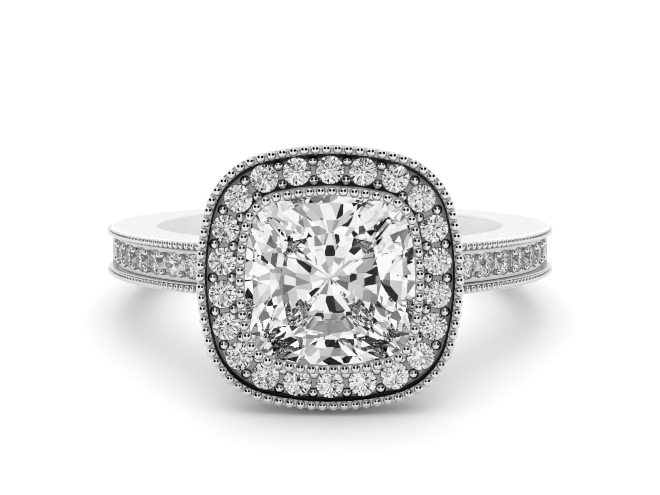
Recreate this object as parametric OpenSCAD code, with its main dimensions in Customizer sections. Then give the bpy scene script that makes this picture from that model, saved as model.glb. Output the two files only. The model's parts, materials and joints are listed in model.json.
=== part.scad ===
// Halo ring in white gold: a cushion-cut stone in a beaded bezel, a halo of small round
// stones in a channel behind a beaded rim, and a shank with channel-set stones.
// The ring lies as it rests by itself, on the lower edge of its head and the back of its
// shank. Its origin is on that surface, below the middle of its box.

/* [Finger] */
// Diameter of the finger hole
finger_d = 17; // [15.5:0.25:20]

/* [Shank] */
// Thickness of the shank from the finger hole to the top of its rails
shank_t = 2.27; // [2.1:0.01:2.6]
// Width of the shank along the finger
shank_w = 2.3; // [2.2:0.05:2.8]
// Width of each rail beside the stones
rail_w = 0.42; // [0.34:0.01:0.45]
// Depth of the stone channel below the rails
channel_depth = 0.36; // [0.3:0.01:0.45]
// Angle from the head at which each stone channel ends
channel_end = 90; // [88:1:110]
// Bevel on the edges of the finger hole
hole_bevel = 0.12; // [0.05:0.01:0.2]
// Bevel on the outer edges of the plain back of the shank
rail_bevel = 0.1; // [0.05:0.01:0.14]

/* [Shank stones] */
// Number of stones on each side of the shank
shank_stones = 8; // [5:1:8]
// Diameter of a shank stone
shank_stone_d = 1.12; // [1:0.01:1.15]
// Space between neighbouring shank stones
shank_stone_gap = 0.11; // [0.09:0.01:0.15]
// Angle from the head to the middle of the first shank stone
shank_first = 35.5; // [34:0.5:38]
// Diameter of the beads that hold the shank stones
shank_prong_d = 0.24; // [0.2:0.01:0.26]
// Diameter of the fine beads along the rails
rail_bead_d = 0.25; // [0.2:0.01:0.28]
// Distance from one fine bead to the next along a rail
rail_bead_pitch = 0.32; // [0.3:0.01:0.5]

/* [Head] */
// Height of the halo floor above the finger hole
floor_h = 3.72; // [3.6:0.01:4.2]
// Thickness of the halo plate below its floor
plate_t = 0.95; // [0.8:0.01:1.05]
// Space between a halo stone and the rim's wall
rim_space = 0.101; // [0.08:0.001:0.2]
// Radius of the rim's long sides
rim_side_r = 11.24; // [10:0.1:13]
// Radius of the rim's corners
rim_corner_r = 3.11; // [2.8:0.01:3.3]
// Width of the rim's wall
rim_w = 0.34; // [0.28:0.01:0.36]
// Height of the rim above the halo floor
rim_h = 0.3; // [0.25:0.01:0.45]
// Number of beads on the rim
rim_beads = 78; // [70:1:80]
// Diameter of the rim and bezel beads
bead_d = 0.4; // [0.34:0.01:0.42]

/* [Bezel] */
// Half width of the bezel, measured at its beads
bezel_half = 3.676; // [3.64:0.01:3.7]
// Radius of the bezel's long sides
bezel_side_r = 9.98; // [9:0.1:12]
// Radius of the bezel's corners
bezel_corner_r = 1.64; // [1.5:0.01:1.8]
// Width of the bezel's wall
bezel_w = 0.36; // [0.32:0.01:0.37]
// Height of the bezel above the halo floor
bezel_h = 1.05; // [0.9:0.01:1.3]
// Number of beads on the bezel
bezel_beads = 55; // [48:1:56]

/* [Halo stones] */
// Number of stones in the halo
halo_stones = 22; // [20:1:22]
// Diameter of a halo stone
halo_stone_d = 1.18; // [1.05:0.01:1.19]
// Space between a halo stone and the bezel's wall
bezel_space = 0.047; // [0.04:0.001:0.1]
// Radius of that line's long sides
halo_side_r = 12.28; // [11:0.1:14]
// Radius of that line's corners
halo_corner_r = 2.68; // [2.5:0.01:2.8]
// Diameter of the beads that hold the halo stones
halo_prong_d = 0.36; // [0.3:0.01:0.37]
// Diameter of the light hole behind each halo stone
light_hole_d = 0.5; // [0.4:0.01:0.6]

/* [Centre stone] */
// Overhang of the bezel's lip over the stone's girdle
lip = 0.1; // [0.06:0.01:0.12]
// Height of the girdle's middle below the top of the bezel's wall
girdle_drop = 0.32; // [0.3:0.01:0.5]
// Girdle thickness of the centre stone
girdle_t = 0.14; // [0.1:0.01:0.16]
// Height of the crown above the girdle
crown_h = 0.98; // [0.8:0.01:1.1]
// Depth of the pavilion below the girdle
pavilion_h = 3.2; // [2.8:0.05:3.3]
// Width of the table as a share of the stone's width
table_share = 0.58; // [0.52:0.01:0.64]

/* [Gallery] */
// Height of the sloping bearing that the centre stone rests on
bearing_h = 0.34; // [0.2:0.01:0.5]
// How far the top of the gallery stands out from the line of bezel beads
gallery_out = 0.424; // [0.3:0.001:0.45]
// Half width of the gallery's outside at the finger hole
gallery_foot_half = 2.7; // [2.5:0.05:3]
// Half width of the gallery's inside at the finger hole
gallery_hole_half = 1.9; // [1.6:0.05:2]

/* [Fits] */
// Clearance round each stone in its seat
seat_clear = 0.03; // [0.02:0.01:0.04]

/* [Hidden] */
$fn = 48;
ball_fn = 16;
shank_fn = 180;
// Overlap of pieces that are one metal, and how far a cutter runs past what it cuts
eps = 0.01;
past = 1;

// Heights in the head are measured from the finger's axis along the head's own axis
hole_r = finger_d / 2;
rail_r = hole_r + shank_t;
channel_r = rail_r - channel_depth;
halo_floor = hole_r + floor_h;
plate_bottom = halo_floor - plate_t;
rim_top = halo_floor + rim_h;
bezel_top = halo_floor + bezel_h;
girdle_mid = bezel_top - girdle_drop;

// Half widths of the line through the halo stones' middles and of the line of rim beads
halo_half = bezel_half + bezel_w / 2 + bezel_space + halo_stone_d / 2;
rim_half = halo_half + halo_stone_d / 2 + rim_space + rim_w / 2;

// An outline is a cushion of eight arcs: half width, radius of a side, radius of a corner
RIM = [rim_half, rim_side_r, rim_corner_r];
BEZEL = [bezel_half, bezel_side_r, bezel_corner_r];
HALO = [halo_half, halo_side_r, halo_corner_r];
STONE = grown(BEZEL, lip - bezel_w / 2 - seat_clear);

// Round stones: table width, crown angle, pavilion angle, girdle thickness as shares of the cut
round_table = 0.56;
round_crown = 34.5;
round_pavilion = 41;
round_girdle = 0.03;
star_share = 0.5;
lower_share = 0.77;

// The centre stone's inner facet corners: size as a share of the girdle, and height or
// depth as a share of the crown or pavilion
crown_star_h = 0.56;
belt_share = 0.76;
belt_depth = 0.29;
deep_share = 0.4;
deep_depth = 0.64;

// Pitch of the shank stones and of the fine beads as angles round the finger
deg_per_mm = 180 / PI / channel_r;
shank_step = (shank_stone_d + shank_stone_gap) * deg_per_mm;
rail_bead_step = rail_bead_pitch * 180 / PI / rail_r;

// Resting place: the halo plate's lower back edge and the lower back edge of the shank
// touch the surface
rest_half = rim_half + rim_w / 2;
back_r = rail_r - rail_bevel;
tilt = atan((rest_half - shank_w / 2) / (plate_bottom + back_r));
rest_z = back_r * sin(tilt) + shank_w / 2 * cos(tilt);
table_h = girdle_mid + girdle_t / 2 + crown_h;
front_reach = table_h * cos(tilt) + table_share * STONE[0] * sin(tilt);
back_reach = rail_r * cos(tilt) + (shank_w / 2 - rail_bevel) * sin(tilt);
rest_shift = (front_reach - back_reach) / 2;

function two(i) = str(i < 10 ? "0" : "", i);
function halo_name(i) = str("halo_stone_", two(i));
function shank_name(side, i) = str("shank_stone_", side < 0 ? "left_" : "right_", two(i));

function grown(o, d) = [o[0] + d, o[1] + d, o[2] + d];

// Distance of a corner arc's middle from each axis
function corner_at(o) =
    let (b = o[0] < o[1] ? o[1] - o[0] : 0)
    (sqrt(2 * (o[1] - o[2]) ^ 2 - b ^ 2) - b) / 2;

// Direction in which a side arc hands over to a corner arc
function corner_from(o) = asin(corner_at(o) / (o[1] - o[2]));

function turned(p, a) = [p[0] * cos(a) - p[1] * sin(a), p[0] * sin(a) + p[1] * cos(a)];

// Point of the outline whose outward direction is the angle a
function outline_at(o, a) =
    let (quarter = floor(a / 90), b = a - 90 * quarter, c = corner_at(o), t = corner_from(o))
    turned(
        b < t ? [o[0] - o[1] + o[1] * cos(b), o[1] * sin(b)]
        : b > 90 - t ? [o[1] * cos(b), o[0] - o[1] + o[1] * sin(b)]
        : [c + o[2] * cos(b), c + o[2] * sin(b)],
        90 * quarter
    );

function side_len(o) = o[1] * corner_from(o) * PI / 180;
function corner_len(o) = o[2] * (90 - 2 * corner_from(o)) * PI / 180;
function quarter_len(o) = 2 * side_len(o) + corner_len(o);

// Outward direction at the share s of the way round the outline, from the right
function direction_at(o, s) =
    let (
        q = 4 * s,
        quarter = floor(q),
        run = (q - quarter) * quarter_len(o),
        t = corner_from(o)
    )
    90 * quarter + (
        run < side_len(o) ? run / o[1] * 180 / PI
        : run < side_len(o) + corner_len(o) ? t + (run - side_len(o)) / o[2] * 180 / PI
        : 90 - t + (run - side_len(o) - corner_len(o)) / o[1] * 180 / PI
    );

side_steps = 6;
corner_steps = 8;

// The outline as a polygon, closer set round the corners
function outline_points(o) =
    let (t = corner_from(o))
    [for (quarter = [0 : 3]) for (b = concat(
        [for (i = [0 : side_steps / 2 - 1]) 2 * t * i / side_steps],
        [for (i = [0 : corner_steps - 1]) t + (90 - 2 * t) * i / corner_steps],
        [for (i = [0 : side_steps / 2 - 1]) 90 - t + 2 * t * i / side_steps]
    )) outline_at(o, 90 * quarter + b)];

module slab(o, from, to) {
    translate([0, 0, from])
        linear_extrude(to - from)
            polygon(outline_points(o));
}

// A wall that narrows evenly from one outline size to another
module taper(o, half_from, half_to, from, to) {
    translate([0, 0, from])
        linear_extrude(to - from, scale = half_to / half_from)
            scale(half_from / o[0])
                polygon(outline_points(o));
}

// Puts what is drawn in the head's own frame in front of the finger hole
module on_head() {
    rotate([90, 0, 0])
        children();
}

// Puts what is drawn round the finger's axis at an angle from the head, facing outward
module on_shank(angle, r) {
    rotate([0, 0, angle])
        translate([0, -r, 0])
            rotate([90, 0, 0])
                children();
}

// Lays the ring down
module lying() {
    translate([0, rest_shift, rest_z])
        rotate([-tilt, 0, 0])
            children();
}

// Half of the shank's section, from the finger hole out, with or without the channel
module shank_section(channel) {
    half_w = shank_w / 2;
    floor_half = half_w - rail_w;
    difference() {
        polygon([
            [hole_r, half_w - hole_bevel],
            [hole_r + hole_bevel, half_w],
            [rail_r - rail_bevel, half_w],
            [rail_r, half_w - rail_bevel],
            [rail_r, -half_w + rail_bevel],
            [rail_r - rail_bevel, -half_w],
            [hole_r + hole_bevel, -half_w],
            [hole_r, -half_w + hole_bevel]
        ]);
        if (channel)
            translate([channel_r, -floor_half])
                square([channel_depth + eps, 2 * floor_half]);
    }
}

module shank() {
    rotate([0, 0, channel_end - 90])
        rotate_extrude(angle = 360 - 2 * channel_end, $fn = shank_fn)
            shank_section(false);
    rotate([0, 0, -90 - channel_end])
        rotate_extrude(angle = 2 * channel_end, $fn = shank_fn)
            shank_section(true);
}

module gallery() {
    taper(BEZEL, gallery_foot_half, bezel_half + gallery_out, hole_r - eps, plate_bottom + eps);
}

module halo_plate() {
    slab(grown(RIM, rim_w / 2), plate_bottom, halo_floor);
    difference() {
        slab(grown(RIM, rim_w / 2), halo_floor - eps, rim_top);
        slab(grown(RIM, -rim_w / 2), halo_floor - 2 * eps, rim_top + eps);
    }
    slab(grown(BEZEL, bezel_w / 2), halo_floor - eps, bezel_top);
}

seat_top = girdle_mid + girdle_t / 2 + lip;
seat_foot = girdle_mid - girdle_t / 2 - seat_clear;
seat_half = STONE[0] + seat_clear;
bearing_half = seat_half - bearing_h * STONE[0] * (1 - belt_share) / (belt_depth * pavilion_h);

// The opening behind the centre stone: lip, girdle seat, bearing and light hole
module centre_seat() {
    slab(grown(BEZEL, -bezel_w / 2), seat_top - eps, bezel_top + past);
    slab(grown(STONE, seat_clear), seat_foot, seat_top);
    taper(STONE, bearing_half, seat_half, seat_foot - bearing_h, seat_foot + eps);
    taper(STONE, gallery_hole_half, bearing_half, hole_r - past, seat_foot - bearing_h + eps);
}

function round_crown_h(d) = d / 2 * (1 - round_table) * tan(round_crown);
function culet_depth(d) = d / 2 * (round_girdle + tan(round_pavilion));

// The hole cut for a round stone whose girdle's middle lies at the height 0
module round_seat(d, hole_d, hole_depth) {
    r = d / 2 + seat_clear;
    g = round_girdle * d / 2 + seat_clear;
    cone_h = (r - hole_d / 2) * tan(round_pavilion);
    translate([0, 0, -g])
        cylinder(r = r, h = g + past);
    translate([0, 0, -g - cone_h])
        cylinder(r1 = hole_d / 2, r2 = r, h = cone_h + eps * tan(round_pavilion));
    translate([0, 0, -hole_depth])
        cylinder(r = hole_d / 2, h = hole_depth - g - cone_h + eps);
}

function halo_dir(i) = direction_at(HALO, 0.25 + (i - 1) / halo_stones);
function halo_place(i) = outline_at(HALO, halo_dir(i));
halo_girdle = halo_floor - round_girdle * halo_stone_d / 2;

// A bead stands at this distance from the middles of the two stones that it holds
function bead_reach(stone_d, bead) = stone_d / 2 + bead / 2 + seat_clear / 2;

module halo_prongs() {
    reach = bead_reach(halo_stone_d, halo_prong_d);
    for (i = [1 : halo_stones]) {
        a = halo_place(i);
        b = halo_place(i + 1);
        half_gap = norm(b - a) / 2;
        along = (b - a) / (2 * half_gap);
        off = sqrt(reach ^ 2 - half_gap ^ 2);
        for (side = [-1, 1])
            translate(concat((a + b) / 2 + side * off * [along[1], -along[0]], [halo_floor]))
                prong(halo_prong_d);
    }
}

// A bead raised from the halo floor to hold a stone
prong_rise = 0.3;
module prong(d) {
    translate([0, 0, d * prong_rise])
        sphere(d = d, $fn = ball_fn);
}

module bead_row(o, count, height, start) {
    for (i = [0 : count - 1])
        translate(concat(outline_at(o, direction_at(o, (i + start) / count)), [height]))
            sphere(d = bead_d, $fn = ball_fn);
}

function shank_angle(i) = shank_first + (i - 1) * shank_step;
shank_girdle = channel_r - round_girdle * shank_stone_d / 2;

module shank_seats() {
    for (side = [-1, 1])
        for (i = [1 : shank_stones])
            on_shank(side * shank_angle(i), shank_girdle)
                round_seat(shank_stone_d, light_hole_d, culet_depth(shank_stone_d) + seat_clear);
}

module shank_prongs() {
    reach = bead_reach(shank_stone_d, shank_prong_d);
    half_gap = channel_r * sin(shank_step / 2);
    off = sqrt(reach ^ 2 - half_gap ^ 2);
    for (side = [-1, 1])
        for (i = [0 : shank_stones])
            for (edge = [-1, 1])
                on_shank(side * (shank_angle(i) + shank_step / 2), channel_r)
                    translate([0, edge * off, 0])
                        sphere(d = shank_prong_d, $fn = ball_fn);
}

module rail_milgrain() {
    from = shank_first - shank_step;
    count = floor((channel_end - from) / rail_bead_step);
    for (side = [-1, 1])
        for (edge = [-1, 1])
            for (i = [0 : count])
                on_shank(side * (from + i * rail_bead_step), rail_r)
                    translate([0, edge * (shank_w - rail_w) / 2, 0])
                        sphere(d = rail_bead_d, $fn = ball_fn);
}

// How far round each row its first bead stands, as a share of the row's pitch
rim_start = 0.81;
bezel_start = 0.57;

module ring_mount() {
    color("gainsboro")
        lying() {
            difference() {
                union() {
                    shank();
                    on_head() {
                        gallery();
                        halo_plate();
                    }
                }
                cylinder(r = hole_r, h = 2 * (rim_half + past), center = true, $fn = shank_fn);
                on_head() {
                    centre_seat();
                    for (i = [1 : halo_stones])
                        translate(concat(halo_place(i), [halo_girdle]))
                            round_seat(halo_stone_d, light_hole_d, plate_t + eps);
                }
                shank_seats();
            }
            on_head() {
                bead_row(RIM, rim_beads, rim_top, rim_start);
                bead_row(BEZEL, bezel_beads, bezel_top, bezel_start);
                halo_prongs();
            }
            shank_prongs();
            rail_milgrain();
        }
}

function ring_of(r, z, from, step, count) =
    [for (k = [0 : count - 1]) [r * cos(from + k * step), r * sin(from + k * step), z]];

// A round brilliant with its girdle's middle at the height 0 and its table up
module brilliant(d) {
    r = d / 2;
    g = round_girdle * d / 2;
    table_r = round_table * r;
    top = g + round_crown_h(d);
    star_r = table_r * cos(22.5) + star_share * (r - table_r * cos(22.5));
    star_z = g + (r - star_r * cos(22.5)) * tan(round_crown);
    low_r = (1 - lower_share) * r;
    low_z = -g - (r - low_r * cos(22.5)) * tan(round_pavilion);
    points = concat(
        ring_of(table_r, top, 0, 45, 8),
        ring_of(star_r, star_z, 22.5, 45, 8),
        ring_of(r, g, 0, 22.5, 16),
        ring_of(r, -g, 0, 22.5, 16),
        ring_of(low_r, low_z, 22.5, 45, 8),
        [[0, 0, -culet_depth(d)]]
    );
    star = 8;
    upper = 16;
    lower = 32;
    low = 48;
    faces = concat(
        [[for (k = [7 : -1 : 0]) k]],
        [for (k = [0 : 7]) [k, (k + 1) % 8, star + k]],
        [for (k = [0 : 7]) [k, star + k, upper + 2 * k, star + (k + 7) % 8]],
        [for (k = [0 : 7]) [star + k, upper + 2 * k + 1, upper + 2 * k]],
        [for (k = [0 : 7]) [star + k, upper + (2 * k + 2) % 16, upper + 2 * k + 1]],
        [for (j = [0 : 15]) [upper + j, upper + (j + 1) % 16, lower + (j + 1) % 16, lower + j]],
        [for (k = [0 : 7]) [low + k, lower + 2 * k, lower + 2 * k + 1]],
        [for (k = [0 : 7]) [low + k, lower + 2 * k + 1, lower + (2 * k + 2) % 16]],
        [for (k = [0 : 7]) [56, low + (k + 7) % 8, lower + 2 * k, low + k]]
    );
    polyhedron(points, faces);
}

module halo_stone(i) {
    color("whitesmoke")
        lying()
            on_head()
                translate(concat(halo_place(i), [halo_girdle]))
                    rotate([0, 0, halo_dir(i)])
                        brilliant(halo_stone_d);
}

module shank_stone(side, i) {
    color("whitesmoke")
        lying()
            on_shank(side * shank_angle(i), shank_girdle)
                brilliant(shank_stone_d);
}

// How far a circle of radius r about c is from the middle, seen at the angle b
function ray(c, r, b) =
    let (m = c * [cos(b), sin(b)])
    m + sqrt(r ^ 2 - c * c + m ^ 2);

// Distance of the outline from the middle, seen at the angle a
function radius_at(o, a) =
    let (
        b = a - 90 * floor(a / 90),
        low = min(b, 90 - b),
        join = outline_at(o, corner_from(o)),
        c = corner_at(o)
    )
    low < atan2(join[1], join[0]) ? ray([o[0] - o[1], 0], o[1], low) : ray([c, c], o[2], b);

// Points of the centre stone on a ring that is a share of its girdle
function stone_ring(share, z, from, step, count) =
    [for (k = [0 : count - 1])
        let (a = from + k * step, r = share * radius_at(STONE, a))
        [r * cos(a), r * sin(a), z]];

// A cushion brilliant with its girdle's middle at the height 0 and its table up
module cushion_brilliant() {
    g = girdle_t / 2;
    star_r = table_share + star_share * (1 - table_share);
    star_z = g + crown_h * crown_star_h;
    points = concat(
        stone_ring(table_share, g + crown_h, 0, 45, 8),
        stone_ring(star_r, star_z, 22.5, 45, 8),
        stone_ring(1, g, 0, 11.25, 32),
        stone_ring(1, -g, 0, 11.25, 32),
        stone_ring(belt_share, -g - pavilion_h * belt_depth, 0, 22.5, 16),
        stone_ring(deep_share, -g - pavilion_h * deep_depth, 11.25, 22.5, 16),
        [[0, 0, -g - pavilion_h]]
    );
    hull()
        polyhedron(points, [[for (i = [0 : len(points) - 1]) i]]);
}

module centre_stone() {
    color("whitesmoke")
        lying()
            on_head()
                translate([0, 0, girdle_mid])
                    cushion_brilliant();
}

ring_mount();
centre_stone();
for (i = [1 : halo_stones])
    halo_stone(i);
for (side = [-1, 1])
    for (i = [1 : shank_stones])
        shank_stone(side, i);
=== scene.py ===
import json
import math

import bpy
import numpy as np
from mathutils import Matrix


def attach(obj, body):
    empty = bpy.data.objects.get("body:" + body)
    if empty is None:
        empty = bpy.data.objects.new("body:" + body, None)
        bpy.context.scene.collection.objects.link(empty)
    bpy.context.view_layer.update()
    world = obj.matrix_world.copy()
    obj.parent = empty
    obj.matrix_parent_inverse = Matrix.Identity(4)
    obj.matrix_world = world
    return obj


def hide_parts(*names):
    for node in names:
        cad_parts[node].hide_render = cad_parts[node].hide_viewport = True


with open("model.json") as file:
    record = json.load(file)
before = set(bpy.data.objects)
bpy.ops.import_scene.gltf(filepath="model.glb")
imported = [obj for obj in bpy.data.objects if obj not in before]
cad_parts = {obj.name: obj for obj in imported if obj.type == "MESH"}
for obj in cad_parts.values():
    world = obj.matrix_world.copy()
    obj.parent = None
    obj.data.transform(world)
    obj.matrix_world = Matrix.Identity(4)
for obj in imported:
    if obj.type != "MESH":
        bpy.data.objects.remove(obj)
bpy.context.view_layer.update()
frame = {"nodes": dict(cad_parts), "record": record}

# How the ring lies. It rests on the lower edge of its head and the back of its shank, so the head
# leans back. Each piece is worked out upright, in millimetres, with the finger's axis along z and
# the head towards -y, and is then laid on the floor with the finger hole where the frame has it.
finger_hole = frame["record"]["mounts"][0]
lean = math.atan2(finger_hole["axis"][1], finger_hole["axis"][2])
LYING = Matrix.Translation(finger_hole["pos_m"]) @ Matrix.Rotation(-lean, 4, "X")


def laid_down(points):
    """Upright millimetres to metres where the ring lies."""
    turned = np.reshape(points, (-1, 3)) @ np.array(LYING.to_3x3()).T
    return turned * 0.001 + np.array(LYING.translation)


# The view: from in front of the head and a little above, with a long lens.
camera_mm = (0.0, -74.33, 8.205)
camera_dip = math.radians(6.37)
lens = bpy.data.cameras.new("view_from_the_front")
lens.lens = 82.16
lens.sensor_width = 36
lens.clip_start = 0.001
camera = bpy.data.objects.new("view_from_the_front", lens)
bpy.context.scene.collection.objects.link(camera)
camera.matrix_world = (
    Matrix.Translation(laid_down(camera_mm)[0])
    @ Matrix.Rotation(math.pi / 2 - camera_dip - lean, 4, "X")
)
bpy.context.scene.camera = camera

# Shank: the band round the finger, white gold cast in one with its two rails. Its shoulders are
# milled to a channel for the stones, and its edges are rounded for comfort.
hole_r = 8.5
shank_half_w = 1.15
rail_w = 0.42
rail_r = 10.77
channel_r = 10.41
channel_end = math.radians(90)
channel_half_w = shank_half_w - rail_w
hole_edge = 0.17
rail_edge = 0.12
shank_columns = 720


def metal_finish(name, light, dark, polish, dull, relief):
    """A white metal whose colour and polish vary in soft patches, as they do after hand polishing,
    with a relief of fine polishing marks."""
    material = bpy.data.materials.new(name)
    material.use_nodes = True
    nodes, links = material.node_tree.nodes, material.node_tree.links
    shader = nodes["Principled BSDF"]
    shader.inputs["Metallic"].default_value = 1.0
    place = nodes.new("ShaderNodeTexCoord")
    patches = nodes.new("ShaderNodeTexNoise")
    patches.inputs["Scale"].default_value = 420.0
    patches.inputs["Detail"].default_value = 3.0
    tone = nodes.new("ShaderNodeValToRGB")
    tone.color_ramp.elements[0].position = 0.35
    tone.color_ramp.elements[0].color = (*dark, 1)
    tone.color_ramp.elements[1].position = 0.65
    tone.color_ramp.elements[1].color = (*light, 1)
    sheen = nodes.new("ShaderNodeMapRange")
    sheen.inputs["From Min"].default_value = 0.3
    sheen.inputs["From Max"].default_value = 0.7
    sheen.inputs["To Min"].default_value = polish
    sheen.inputs["To Max"].default_value = dull
    marks = nodes.new("ShaderNodeTexNoise")
    marks.inputs["Scale"].default_value = 9000.0
    marks.inputs["Detail"].default_value = 2.0
    bump = nodes.new("ShaderNodeBump")
    bump.inputs["Strength"].default_value = relief
    bump.inputs["Distance"].default_value = 0.00001
    links.new(place.outputs["Object"], patches.inputs["Vector"])
    links.new(place.outputs["Object"], marks.inputs["Vector"])
    links.new(patches.outputs["Fac"], tone.inputs["Fac"])
    links.new(patches.outputs["Fac"], sheen.inputs["Value"])
    links.new(marks.outputs["Fac"], bump.inputs["Height"])
    links.new(tone.outputs["Color"], shader.inputs["Base Color"])
    links.new(sheen.outputs["Result"], shader.inputs["Roughness"])
    links.new(bump.outputs["Normal"], shader.inputs["Normal"])
    return material


# The white gold comes in lit and shaded copies. Soft and brushed are painted lighter than the
# polished metal, as painted light. Dull is painted darker, as shade between beads, and grey, dark and
# black are painted shade in recesses, at the feet of walls and between beads.
polished_gold = metal_finish(
    "polished_white_gold", (0.67, 0.67, 0.673), (0.63, 0.63, 0.633), 0.01, 0.03, 0.02
)
satin_gold = metal_finish(
    "satin_white_gold", (0.61, 0.61, 0.613), (0.55, 0.55, 0.553), 0.24, 0.36, 0.2
)
grey_painted_shade = metal_finish(
    "grey_painted_shade", (0.34, 0.34, 0.342), (0.24, 0.24, 0.242), 0.28, 0.42, 0.3
)
dark_painted_shade = metal_finish(
    "dark_painted_shade", (0.17, 0.17, 0.171), (0.11, 0.11, 0.111), 0.3, 0.45, 0.3
)
black_painted_shade = metal_finish(
    "painted_black_shade", (0.03, 0.03, 0.03), (0.012, 0.012, 0.012), 0.35, 0.5, 0.3
)
dull_and_shaded_gold = metal_finish(
    "dull_white_gold_painted_shade", (0.46, 0.46, 0.462), (0.40, 0.40, 0.402), 0.25, 0.36, 0.25
)
soft_and_lit_gold = metal_finish(
    "soft_white_gold_painted_light", (0.82, 0.82, 0.823), (0.78, 0.78, 0.783), 0.42, 0.52, 0.1
)
brushed_and_lit_gold = metal_finish(
    "brushed_white_gold_painted_light", (0.94, 0.94, 0.943), (0.90, 0.90, 0.903), 0.4, 0.5, 0.2
)
FINISHES = (
    polished_gold, soft_and_lit_gold, satin_gold, dull_and_shaded_gold, grey_painted_shade, dark_painted_shade, black_painted_shade,
    brushed_and_lit_gold,
)
POLISHED, SOFT_LIT, SATIN, DULL_SHADED, GREY_SHADE, DARK_SHADE, BLACK_SHADE, BRUSHED_LIT = range(8)


def new_piece(name, points, faces, finish=POLISHED):
    """A closed mesh of laid-down points, turned so that its faces look outward. The finish is one
    for all faces, or a list with one for each."""
    mesh = bpy.data.meshes.new(name)
    mesh.from_pydata(laid_down(points).tolist(), [], faces)
    for material in FINISHES:
        mesh.materials.append(material)
    mesh.polygons.foreach_set("material_index", np.broadcast_to(finish, len(faces)).astype("i"))
    corners = np.array([v.co for v in mesh.vertices])
    mesh.calc_loop_triangles()
    a, b, c = (corners[[t.vertices[k] for t in mesh.loop_triangles]] for k in range(3))
    if np.einsum("ij,ij->i", np.cross(a, b), c).sum() < 0:
        mesh.flip_normals()
    piece = bpy.data.objects.new(name, mesh)
    bpy.context.scene.collection.objects.link(piece)
    return piece


def rows_to_faces(rows, columns, ring):
    """Faces between rows of points, each row closed. In a ring the last row meets the first;
    otherwise the first and last rows are filled."""
    row = np.arange(rows if ring else rows - 1)[:, None]
    column = np.arange(columns)[None, :]
    below, beside = (row + 1) % rows, (column + 1) % columns
    corners = (
        row * columns + column,
        row * columns + beside,
        below * columns + beside,
        below * columns + column,
    )
    faces = np.stack(corners, -1).reshape(-1, 4).tolist()
    if not ring:
        faces.append(list(range(columns))[::-1])
        faces.append([(rows - 1) * columns + k for k in range(columns)])
    return faces


def softened(corners, closed=True, steps=5):
    """Rows of points for a section whose corners are worn round, and the finish of the metal from
    each row to the next. A corner is a row of points, the size and finish of its rounding and the
    finish of the flat that follows it."""
    rows, finishes = [], []
    last = len(corners) - 1
    for k, (corner, size, worn, finish) in enumerate(corners):
        if size == 0 or (not closed and k in (0, last)):
            rows.append(corner)
            finishes.append(finish)
            continue
        before, after = corners[k - 1][0] - corner, corners[(k + 1) % (last + 1)][0] - corner
        start = corner + size * before / np.linalg.norm(before, axis=1, keepdims=True)
        end = corner + size * after / np.linalg.norm(after, axis=1, keepdims=True)
        for t in np.linspace(0, 1, steps + 1):
            rows.append((1 - t) ** 2 * start + 2 * t * (1 - t) * corner + t**2 * end)
        finishes += [worn] * steps + [finish]
    return np.array(rows), np.array(finishes)


def round_finger(angles, r, z):
    """Points at these angles from the head, r from the finger's axis."""
    return np.stack([r * np.sin(angles), -r * np.cos(angles), np.full_like(angles, z)], -1)


angles = np.linspace(0, 2 * math.pi, shank_columns, endpoint=False)
# The finger hole's wall and the shank's sides are soft or brushed metal painted lighter than the
# polished gold, as painted light.
shank_section, shank_band = softened([
    (round_finger(angles, hole_r, -shank_half_w), hole_edge, POLISHED, BRUSHED_LIT),
    (round_finger(angles, hole_r, shank_half_w), hole_edge, SOFT_LIT, SOFT_LIT),
    (round_finger(angles, rail_r, shank_half_w), rail_edge, BRUSHED_LIT, DARK_SHADE),
    (round_finger(angles, rail_r, -shank_half_w), rail_edge, SOFT_LIT, SOFT_LIT),
])

# The rails' outer faces are painted dark under their fine beads, as painted shade between the beads,
# and polished where the beads end.
shank_finish = np.repeat(shank_band, len(angles)).reshape(-1, len(angles))
shank_finish[(shank_finish == DARK_SHADE) & (np.cos(angles) < math.cos(channel_end))] = POLISHED
ring_metal = new_piece(
    "ring_metal", shank_section, rows_to_faces(len(shank_section), len(angles), True),
    shank_finish.ravel(),
)


def join_or_cut(tool, how):
    """Solders the tool's solid to the ring's metal, or cuts it away, and takes the tool off."""
    step = ring_metal.modifiers.new("tool", "BOOLEAN")
    step.solver = "MANIFOLD"
    step.operation = how
    step.object = tool
    old = ring_metal.data
    ring_metal.data = bpy.data.meshes.new_from_object(
        ring_metal.evaluated_get(bpy.context.evaluated_depsgraph_get())
    )
    ring_metal.modifiers.clear()
    bpy.data.meshes.remove(old)
    bpy.data.meshes.remove(tool.data)


# The mill leaves a small bevel on each rail's inner edge. A dark line of painted shade runs along the
# foot of the lower rail.
mill_bevel = 0.04
foot_shade_w = 0.035
tool_reach = 1
mill_path = np.linspace(-channel_end, channel_end, shank_columns // 2 + 1)
mill_section = [
    (channel_r, -channel_half_w, DARK_SHADE),
    (channel_r, -channel_half_w + foot_shade_w, SATIN),
    (channel_r, channel_half_w, SATIN),
    (rail_r - mill_bevel, channel_half_w, SATIN),
    (rail_r + mill_bevel, channel_half_w + 2 * mill_bevel, SATIN),
    (rail_r + tool_reach, channel_half_w + 2 * mill_bevel, SATIN),
    (rail_r + tool_reach, -channel_half_w - 2 * mill_bevel, SATIN),
    (rail_r + mill_bevel, -channel_half_w - 2 * mill_bevel, SATIN),
    (rail_r - mill_bevel, -channel_half_w, SATIN),
]
mill_cut = np.stack([round_finger(mill_path, r, z) for r, z, finish in mill_section], 1)
mill_finish = [finish for r, z, finish in mill_section] * (len(mill_path) - 1) + [SATIN, SATIN]
join_or_cut(
    new_piece("mill", mill_cut, rows_to_faces(len(mill_path), len(mill_section), False), mill_finish),
    "DIFFERENCE",
)

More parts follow.
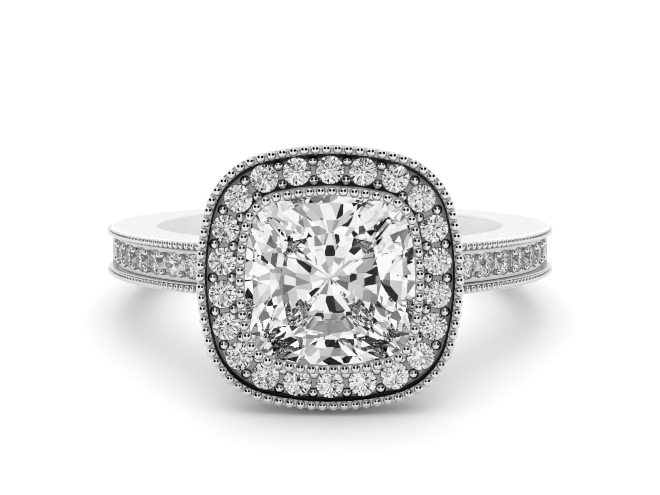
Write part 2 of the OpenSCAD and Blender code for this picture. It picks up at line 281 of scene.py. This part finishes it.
# Head: gallery, halo plate with its raised rim, and bezel, one casting soldered to the shank.
# Its outlines are cushions of eight arcs: half width, radius of a side, radius of a corner.
RIM = (5.354, 11.24, 3.11)
BEZEL = (3.676, 9.98, 1.64)
HALO = (4.493, 12.28, 2.68)
STONE = (3.566, 9.87, 1.53)
rim_w = 0.34
bezel_w = 0.36
plate_bottom = 11.27
halo_floor = 12.22
rim_top = 12.52
bezel_top = 13.27
overlap = 0.01
gallery_foot = hole_r - overlap
gallery_foot_half = 2.7
gallery_top_half = 4.1
gallery_edge = 0.1
plate_edge = 0.09
rim_edge = 0.1
bezel_edge = 0.03
head_columns = 336
QUARTER = math.pi / 2


def corner_at(outline):
    """Distance of a corner arc's middle from each axis."""
    half, side_r, corner_r = outline
    back = side_r - half
    return (math.sqrt(2 * (side_r - corner_r) ** 2 - back**2) - back) / 2


def corner_from(outline):
    """Direction in which a side arc hands over to a corner arc."""
    return math.asin(corner_at(outline) / (outline[1] - outline[2]))


def outline_at(outline, directions):
    """Points of the outline that face these directions."""
    half, side_r, corner_r = outline
    middle, hand_over = corner_at(outline), corner_from(outline)
    quarter = np.floor(directions / QUARTER)
    b = directions - quarter * QUARTER
    early, late = b < hand_over, b > QUARTER - hand_over
    r = np.where(early | late, side_r, corner_r)
    x = np.where(early, half - side_r, np.where(late, 0, middle)) + r * np.cos(b)
    y = np.where(late, half - side_r, np.where(early, 0, middle)) + r * np.sin(b)
    turn = quarter * QUARTER
    return np.stack([x * np.cos(turn) - y * np.sin(turn), x * np.sin(turn) + y * np.cos(turn)], -1)


def directions_at(outline, shares):
    """Directions that the outline faces at these shares of the way round it."""
    hand_over = corner_from(outline)
    side = outline[1] * hand_over
    corner = outline[2] * (QUARTER - 2 * hand_over)
    quarter = np.floor(4 * shares)
    run = (4 * shares - quarter) * (2 * side + corner)
    turn = np.interp(
        run, [0, side, side + corner, 2 * side + corner],
        [0, hand_over, QUARTER - hand_over, QUARTER],
    )
    return quarter * QUARTER + turn


def head_row(outline, height, out=0.0, half=None):
    """A row of points round the head: an outline let out by a width, or drawn to another half
    width, at a height from the finger's axis."""
    across = outline_at(outline, head_directions)
    facing = np.stack([np.cos(head_directions), np.sin(head_directions)], -1)
    across = across + np.broadcast_to(out, len(head_directions))[:, None] * facing
    if half:
        across = across * half / outline[0]
    return np.column_stack([across[:, 0], np.full(len(across), -height), across[:, 1]])


head_directions = directions_at(RIM, np.arange(head_columns) / head_columns)

# The halo's floor is painted as shade: black along its two walls, dark beside that and grey between
# the stones. The black lines are wider at the foot and the top than at the sides, and the dark at the
# top, as painted shade from the walls.
black_side_w = 0.07
black_ends_more = 0.08
black_top_more = 0.04
dark_side_w = 0.22
dark_top_more = 0.12
toward_ends = np.sin(head_directions) ** 2
toward_top = np.maximum(np.sin(head_directions), 0) ** 2
black_shade_w = black_side_w + black_ends_more * toward_ends + black_top_more * toward_top
dark_shade_w = dark_side_w + dark_top_more * toward_top
head_section, head_band = softened([
    (head_row(BEZEL, gallery_foot, half=gallery_foot_half), 0, POLISHED, POLISHED),
    (head_row(BEZEL, plate_bottom, half=gallery_top_half), gallery_edge, POLISHED, POLISHED),
    (head_row(RIM, plate_bottom, rim_w / 2), plate_edge, POLISHED, POLISHED),
    # The rim's and the bezel's tops are dull metal painted darker, as painted shade between their
    # beads, and the rim's inner wall is painted black as shade.
    (head_row(RIM, rim_top, rim_w / 2), rim_edge, SATIN, DULL_SHADED),
    (head_row(RIM, rim_top, -rim_w / 2), 0, BLACK_SHADE, BLACK_SHADE),
    (head_row(RIM, halo_floor, -rim_w / 2), 0, BLACK_SHADE, BLACK_SHADE),
    (head_row(RIM, halo_floor, -rim_w / 2 - black_shade_w), 0, DARK_SHADE, DARK_SHADE),
    (head_row(RIM, halo_floor, -rim_w / 2 - dark_shade_w), 0, GREY_SHADE, GREY_SHADE),
    (head_row(BEZEL, halo_floor, bezel_w / 2 + dark_shade_w), 0, DARK_SHADE, DARK_SHADE),
    (head_row(BEZEL, halo_floor, bezel_w / 2 + black_shade_w), 0, BLACK_SHADE, BLACK_SHADE),
    # The bezel's outer wall is soft metal painted lighter, as painted light.
    (head_row(BEZEL, halo_floor, bezel_w / 2), 0, SOFT_LIT, SOFT_LIT),
    (head_row(BEZEL, bezel_top, bezel_w / 2), bezel_edge, DULL_SHADED, DULL_SHADED),
    (head_row(BEZEL, bezel_top, 0), 0, DULL_SHADED, DULL_SHADED),
], closed=False)
head_faces = rows_to_faces(len(head_section), len(head_directions), False)
head_finish = np.append(np.repeat(head_band[:-1], len(head_directions)), [POLISHED, POLISHED])
join_or_cut(new_piece("head", head_section, head_faces, head_finish), "UNION")

# The seat of the centre stone, cut from above: lip, girdle groove, sloping bearing and light hole.
girdle_mid = 12.95
girdle_t = 0.14
seat_clear = 0.03
groove_room = 0.1
lip_bevel_w = 0.04
lip_bevel_h = 0.06
groove_top = girdle_mid + girdle_t / 2 + groove_room
groove_foot = girdle_mid - girdle_t / 2 - seat_clear
bearing_h = 0.34
bearing_half = 3.2835
gallery_hole_half = 1.9
centre_seat = [
    head_row(BEZEL, bezel_top + tool_reach, -bezel_w / 2 + lip_bevel_w),
    head_row(BEZEL, bezel_top, -bezel_w / 2 + lip_bevel_w),
    head_row(BEZEL, bezel_top - lip_bevel_h, -bezel_w / 2),
    head_row(BEZEL, groove_top, -bezel_w / 2),
    head_row(STONE, groove_top, seat_clear),
    head_row(STONE, groove_foot, seat_clear),
    head_row(STONE, groove_foot - bearing_h, half=bearing_half),
    head_row(STONE, hole_r - tool_reach, half=gallery_hole_half),
]
seat_faces = rows_to_faces(len(centre_seat), len(head_directions), False)
# The seat's cut walls are brushed metal painted lighter, as painted light.
join_or_cut(new_piece("burr", centre_seat, seat_faces, BRUSHED_LIT), "DIFFERENCE")

# Seats of the small stones: each is drilled through or into the metal, then opened with a
# burr to a cone and a short straight wall that takes the stone's girdle.
halo_stone_d = 1.18
halo_stones = 22
shank_stone_d = 1.12
shank_stones = 8
shank_stone_gap = 0.11
light_hole_r = 0.25
snug = 0.008
hair = 0.001
seat_sides = 48
plate_t = halo_floor - plate_bottom
pavilion_angle = math.radians(41)
girdle_share = 0.03
halo_girdle = halo_floor - girdle_share * halo_stone_d / 2
shank_girdle = channel_r - girdle_share * shank_stone_d / 2
shank_step = (shank_stone_d + shank_stone_gap) / channel_r
first_stone_at = math.radians(35.5)
shank_angles = first_stone_at + shank_step * np.arange(shank_stones)
first_stone_share = 0.25
halo_shares = (first_stone_share + np.arange(halo_stones) / halo_stones) % 1
halo_directions = directions_at(HALO, halo_shares)
halo_places = outline_at(HALO, halo_directions)


def on_head(x, v, height):
    """Place in the head's own frame: across, along the finger's axis, and out from it."""
    return Matrix.Translation((x, -height, v)) @ Matrix.Rotation(QUARTER, 4, "X")


def on_shank(angle, r, z=0.0):
    """Place on the shank at an angle from the head, r from the finger's axis, facing outward."""
    turn = Matrix.Rotation(angle, 4, "Z")
    return turn @ Matrix.Translation((0, -r, z)) @ Matrix.Rotation(QUARTER, 4, "X")


def copies(shape, places):
    """The points of one small shape repeated at each place."""
    shape = np.column_stack([np.reshape(shape, (-1, 3)), np.ones(np.size(shape) // 3)])
    return np.concatenate([shape @ np.array(place).T[:, :3] for place in places])


def repeated(faces, points, count):
    """The faces of one small shape repeated for each of its copies."""
    return [[corner + points * k for corner in face] for k in range(count) for face in faces]


def turned_on_lathe(section, sides):
    """Rows of points for a section of radii and heights turned round its own axis."""
    turn = np.arange(sides) * 2 * math.pi / sides
    return np.array([
        np.stack([r * np.cos(turn), r * np.sin(turn), np.full(sides, h)], -1) for r, h in section
    ])


def drill_seats(name, stone_d, hole_depth, places, finish):
    """Cuts one seat at each place, which lies at the height of the stone's girdle. Above the
    girdle the seat opens a little wider."""
    seat_r = stone_d / 2 + snug
    wall = girdle_share * stone_d / 2 + snug
    cone_h = (seat_r - light_hole_r) * math.tan(pavilion_angle)
    brim = girdle_share * stone_d / 2
    burr = turned_on_lathe([
        (light_hole_r, -hole_depth),
        (light_hole_r, -wall - cone_h),
        (seat_r, -wall),
        (seat_r, brim - snug),
        (seat_r + snug, brim + hair),
        (seat_r + snug, tool_reach),
    ], seat_sides)
    faces = rows_to_faces(len(burr), seat_sides, False)
    join_or_cut(
        new_piece(
            name, copies(burr, places),
            repeated(faces, burr.size // 3, len(places)), finish,
        ),
        "DIFFERENCE",
    )


# The halo's seats are painted grey as shade; the shank's are brushed metal painted lighter, as
# painted light.
halo_seats = [on_head(x, v, halo_girdle) for x, v in halo_places]
drill_seats("halo_burr", halo_stone_d, plate_t + overlap, halo_seats, GREY_SHADE)
culet_depth = shank_stone_d / 2 * (girdle_share + math.tan(pavilion_angle))
shank_seats = [on_shank(side * a, shank_girdle) for side in (-1, 1) for a in shank_angles]
drill_seats("shank_burr", shank_stone_d, culet_depth + seat_clear, shank_seats, BRUSHED_LIT)
crease = math.radians(32)


def polish_up(piece):
    """Smooths the surfaces between the edges that stay crisp, keeps the flats flat, hangs the piece
    on the ring's root body and hides the ring_mount node."""
    piece.data.shade_smooth()
    piece.data.set_sharp_from_angle(angle=crease)
    flats = piece.modifiers.new("flats", "WEIGHTED_NORMAL")
    flats.keep_sharp = True
    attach(piece, "root")
    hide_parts("ring_mount")


# Beading: balls of the same white gold. Large ones are soldered in rows along the rim and the
# bezel, fine ones along the shank's rails, and pairs between the stones hold them at their girdles.
bead_d = 0.41
bead_rise = 0.05
rim_beads, rim_start = 78, 0.81
bezel_beads, bezel_start = 55, 0.57


def beads(name, diameter, places, sides, rows, depth=1.0):
    """A joined mesh of balls, their poles pointing out of the metal, pressed flatter to a share of
    their depth."""
    latitudes = np.linspace(-QUARTER, QUARTER, rows + 1)[1:-1]
    r, high = diameter / 2, diameter / 2 * depth
    ball = turned_on_lathe([(r * math.cos(t), high * math.sin(t)) for t in latitudes], sides)
    points = np.vstack([ball.reshape(-1, 3), [0, 0, -high], [0, 0, high]])
    faces = rows_to_faces(rows - 1, sides, False)[:-2]
    foot, top, last = (rows - 1) * sides, (rows - 1) * sides + 1, (rows - 2) * sides
    for k in range(sides):
        faces.append([foot, (k + 1) % sides, k])
        faces.append([top, last + k, last + (k + 1) % sides])
    row = new_piece(name, copies(points, places), repeated(faces, len(points), len(places)))
    polish_up(row)
    return row


def bead_row(outline, count, start, height):
    """Places of evenly spaced beads along an outline of the head."""
    along = outline_at(outline, directions_at(outline, ((np.arange(count) + start) / count) % 1))
    return [on_head(x, v, height) for x, v in along]


rim_row = bead_row(RIM, rim_beads, rim_start, rim_top + bead_rise)
beads("rim_beads", bead_d, rim_row, sides=24, rows=14)
bezel_row = bead_row(BEZEL, bezel_beads, bezel_start, bezel_top + bead_rise)
beads("bezel_beads", bead_d, bezel_row, sides=24, rows=14)

# Each pair of holding beads stands between two stones, as near as both stones allow. The halo's
# are pressed flatter over their stones.
halo_bead_d = 0.38
halo_bead_press = 0.7
shank_bead_d = 0.30
halo_bead_rise = 0.1
shank_bead_rise = 0.09


def bead_offset(stone_d, holding_d, half_gap):
    """How far a holding bead stands from the line through the stones' middles."""
    reach = stone_d / 2 + holding_d / 2 + seat_clear / 2
    return math.sqrt(reach**2 - half_gap**2)


halo_bead_places, bead_cup_places = [], []
for here, there in zip(halo_places, np.roll(halo_places, -1, axis=0)):
    half_gap = np.linalg.norm(there - here) / 2
    along = (there - here) / (2 * half_gap)
    offset = bead_offset(halo_stone_d, halo_bead_d, half_gap)
    for side in (-1, 1):
        x, v = (here + there) / 2 + side * offset * np.array([along[1], -along[0]])
        halo_bead_places.append(on_head(x, v, halo_floor + halo_bead_rise))
        bead_cup_places.append(on_head(x, v, halo_floor))
beads("halo_beads", halo_bead_d, halo_bead_places, sides=24, rows=14, depth=halo_bead_press)

# The beading tool leaves a cupped ring in the floor round each of the halo's holding beads. The ring
# is painted black, as painted shadow round each bead.
cup_foot_r = 0.19
cup_r = 0.222
cup_depth = 0.03
cup_sides = 32
cup = turned_on_lathe([(cup_foot_r, -cup_depth), (cup_r, hair / 2)], cup_sides)
cup_faces = rows_to_faces(len(cup), cup_sides, False)
join_or_cut(
    new_piece(
        "beading_tool", copies(cup, bead_cup_places),
        repeated(cup_faces, cup.size // 3, len(bead_cup_places)), BLACK_SHADE,
    ),
    "DIFFERENCE",
)
polish_up(ring_metal)

shank_offset = bead_offset(shank_stone_d, shank_bead_d, channel_r * math.sin(shank_step / 2))
between = shank_angles[0] + shank_step * (np.arange(shank_stones + 1) - 0.5)
beads("shank_beads", shank_bead_d, [
    on_shank(side * a, channel_r + shank_bead_rise, edge * shank_offset)
    for side in (-1, 1) for a in between for edge in (-1, 1)
], sides=20, rows=12)

# The fine beads are sunk a little past their middles, and are narrower along the rail than across.
rail_bead_d = 0.36
rail_bead_rise = -0.02
rail_bead_pitch = 0.32
narrowing = 0.84
narrowed = Matrix.Diagonal((narrowing, 1, 1, 1))
rail_bead_step = rail_bead_pitch / rail_r
rail_from = shank_angles[0] - shank_step
rail_angles = rail_from + rail_bead_step * np.arange(
    math.floor((channel_end - rail_from) / rail_bead_step) + 1
)
beads("rail_beads", rail_bead_d, [
    on_shank(side * a, rail_r + rail_bead_rise, edge * (shank_half_w - rail_w / 2)) @ narrowed
    for side in (-1, 1) for edge in (-1, 1) for a in rail_angles
], sides=20, rows=12)

# Stones: clear diamonds, a cushion brilliant in the bezel and round brilliants in the halo and
# the shoulders. They are cut flat-faceted, so they keep the frame's own solids.


def diamond_finish(name, clear, haze, polish):
    """Clear diamond with the faintest uneven tint, as natural stones have. Seen straight on, its
    faces mirror only a tenth of what diamond's do, so that the light from inside shows."""
    material = bpy.data.materials.new(name)
    material.use_nodes = True
    nodes, links = material.node_tree.nodes, material.node_tree.links
    shader = nodes["Principled BSDF"]
    shader.inputs["Transmission Weight"].default_value = 1.0
    shader.inputs["IOR"].default_value = 2.42
    shader.inputs["Specular Tint"].default_value = (0.1, 0.1, 0.1, 1)
    shader.inputs["Roughness"].default_value = polish
    place = nodes.new("ShaderNodeTexCoord")
    growth = nodes.new("ShaderNodeTexNoise")
    growth.inputs["Scale"].default_value = 700.0
    tint = nodes.new("ShaderNodeValToRGB")
    tint.color_ramp.elements[0].position = 0.3
    tint.color_ramp.elements[0].color = (*haze, 1)
    tint.color_ramp.elements[1].position = 0.7
    tint.color_ramp.elements[1].color = (*clear, 1)
    links.new(place.outputs["Object"], growth.inputs["Vector"])
    links.new(growth.outputs["Fac"], tint.inputs["Fac"])
    links.new(tint.outputs["Color"], shader.inputs["Base Color"])
    return material


centre_diamond = diamond_finish("centre_diamond", (1.0, 1.0, 1.0), (0.985, 0.99, 1.0), 0.0)
small_diamond = diamond_finish("small_diamond", (0.99, 0.99, 0.99), (0.96, 0.965, 0.975), 0.03)
for name, stone in frame["nodes"].items():
    if name == "ring_mount":
        continue
    stone.material_slots[0].material = centre_diamond if name == "centre_stone" else small_diamond

# Studio: a pale floor under a white tent, with two dark gaps in it high on the left and right.
far = 2
floor_corners = [(-far, -far, 0), (far, -far, 0), (far, far, 0), (-far, far, 0)]
floor_mesh = bpy.data.meshes.new("floor")
floor_mesh.from_pydata(floor_corners, [], [(0, 1, 2, 3)])
floor = bpy.data.objects.new("floor", floor_mesh)
bpy.context.scene.collection.objects.link(floor)
paper = bpy.data.materials.new("pale_paper")
paper.use_nodes = True
paper.node_tree.nodes["Principled BSDF"].inputs["Base Color"].default_value = (0.86, 0.86, 0.86, 1)
paper.node_tree.nodes["Principled BSDF"].inputs["Roughness"].default_value = 0.9
paper.node_tree.nodes["Principled BSDF"].inputs["Specular IOR Level"].default_value = 0.1
floor_mesh.materials.append(paper)

# Light that has passed through a stone doesn't see the floor, so the stones are lit from below too.
floor.visible_transmission = False

world = bpy.data.worlds.new("white_tent")
bpy.context.scene.world = world
world.use_nodes = True
nodes, links = world.node_tree.nodes, world.node_tree.links
background = nodes["Background"]
direction = nodes.new("ShaderNodeTexCoord").outputs["Generated"]
ray = nodes.new("ShaderNodeLightPath")


def number(operation, a, b):
    """One sum in the light's nodes, of numbers or of other nodes' outputs."""
    node = nodes.new("ShaderNodeMath")
    node.operation = operation
    for socket, value in zip(node.inputs, (a, b)):
        if isinstance(value, (int, float)):
            socket.default_value = value
        else:
            links.new(value, socket)
    return node.outputs["Value"]


def choose(which, no, yes):
    """One of two brightnesses, by a ray's kind."""
    rest = number("SUBTRACT", 1.0, which)
    return number("ADD", number("MULTIPLY", rest, no), number("MULTIPLY", which, yes))


def patch(toward, reach_x, reach_y, soft, inside, outside):
    """One of two numbers, by whether a direction, or its opposite, lies in an oval round another.
    The oval's edge is soft."""
    middle = np.array(toward) / np.linalg.norm(toward)
    sideways = np.cross((0, 1, 0), middle)
    sideways /= np.linalg.norm(sideways)
    spot = nodes.new("ShaderNodeCombineXYZ")
    for socket, axis, reach in (("X", sideways, reach_x), ("Y", np.cross(middle, sideways), reach_y)):
        along = nodes.new("ShaderNodeVectorMath")
        along.operation = "DOT_PRODUCT"
        along.inputs[1].default_value = axis / math.sin(math.radians(reach))
        links.new(direction, along.inputs[0])
        links.new(along.outputs["Value"], spot.inputs[socket])
    away = nodes.new("ShaderNodeVectorMath")
    away.operation = "LENGTH"
    fade = nodes.new("ShaderNodeMapRange")
    fade.interpolation_type = "SMOOTHSTEP"
    fade.inputs["From Min"].default_value = 1 - soft
    fade.inputs["From Max"].default_value = 1 + soft
    fade.inputs["To Min"].default_value = inside
    fade.inputs["To Max"].default_value = outside
    links.new(spot.outputs["Vector"], away.inputs[0])
    links.new(away.outputs["Value"], fade.inputs["Value"])
    return fade.outputs["Result"]


tent = 1.18
gap_reach_x = 26
gap_reach_y = 36
for side in (-1, 1):
    toward_gap = (side * 0.65, -0.44, 0.62)
    gap = patch(toward_gap, gap_reach_x, gap_reach_y, soft=0.04, inside=0.0, outside=1.0)
    tent = number("MULTIPLY", tent, gap)

# The floor is lit most from straight above, through the tent's top.
top_reach = 39
top_gain = 6.9
floor_gain = 0.38
tent_top = patch((0, 0, 1), top_reach, top_reach, soft=0.4, inside=top_gain, outside=1.0)
floor_light = number("MULTIPLY", floor_gain, tent_top)

# The stones are lit by a patchwork of white, grey and black panels of their own.
panels = nodes.new("ShaderNodeTexVoronoi")
panels.inputs["Scale"].default_value = 7.0
shade = nodes.new("ShaderNodeSeparateColor")
panel_light = nodes.new("ShaderNodeValToRGB")
elements = panel_light.color_ramp.elements
elements[0].position, elements[0].color = 0.1, (0, 0, 0, 1)
elements[1].position, elements[1].color = 1.0, (0.91, 0.91, 0.91, 1)
for share, level in ((0.17, 0.1), (0.3, 0.42), (0.5, 0.8)):
    elements.new(share).color = (level, level, level, 1)
hung = nodes.new("ShaderNodeMapping")
hung.inputs["Rotation"].default_value = (-3.05, 0.18, -2.77)
links.new(direction, hung.inputs["Vector"])
links.new(hung.outputs["Vector"], panels.inputs["Vector"])
links.new(panels.outputs["Color"], shade.inputs["Color"])
links.new(shade.outputs["Red"], panel_light.inputs["Fac"])
panel_gain = 1.08
stone_light = number("MULTIPLY", panel_light.outputs["Color"], panel_gain)

light = choose(ray.outputs["Is Diffuse Ray"], tent, floor_light)
light = choose(ray.outputs["Is Transmission Ray"], light, stone_light)
links.new(light, background.inputs["Color"])

# The stones need many bounces of light. The narrow filter keeps the picture as crisp as the photo.
scene = bpy.context.scene
scene.view_settings.view_transform = "Standard"
scene.cycles.filter_width = 0.8
scene.cycles.max_bounces = 24
scene.cycles.glossy_bounces = 20
scene.cycles.transmission_bounces = 24
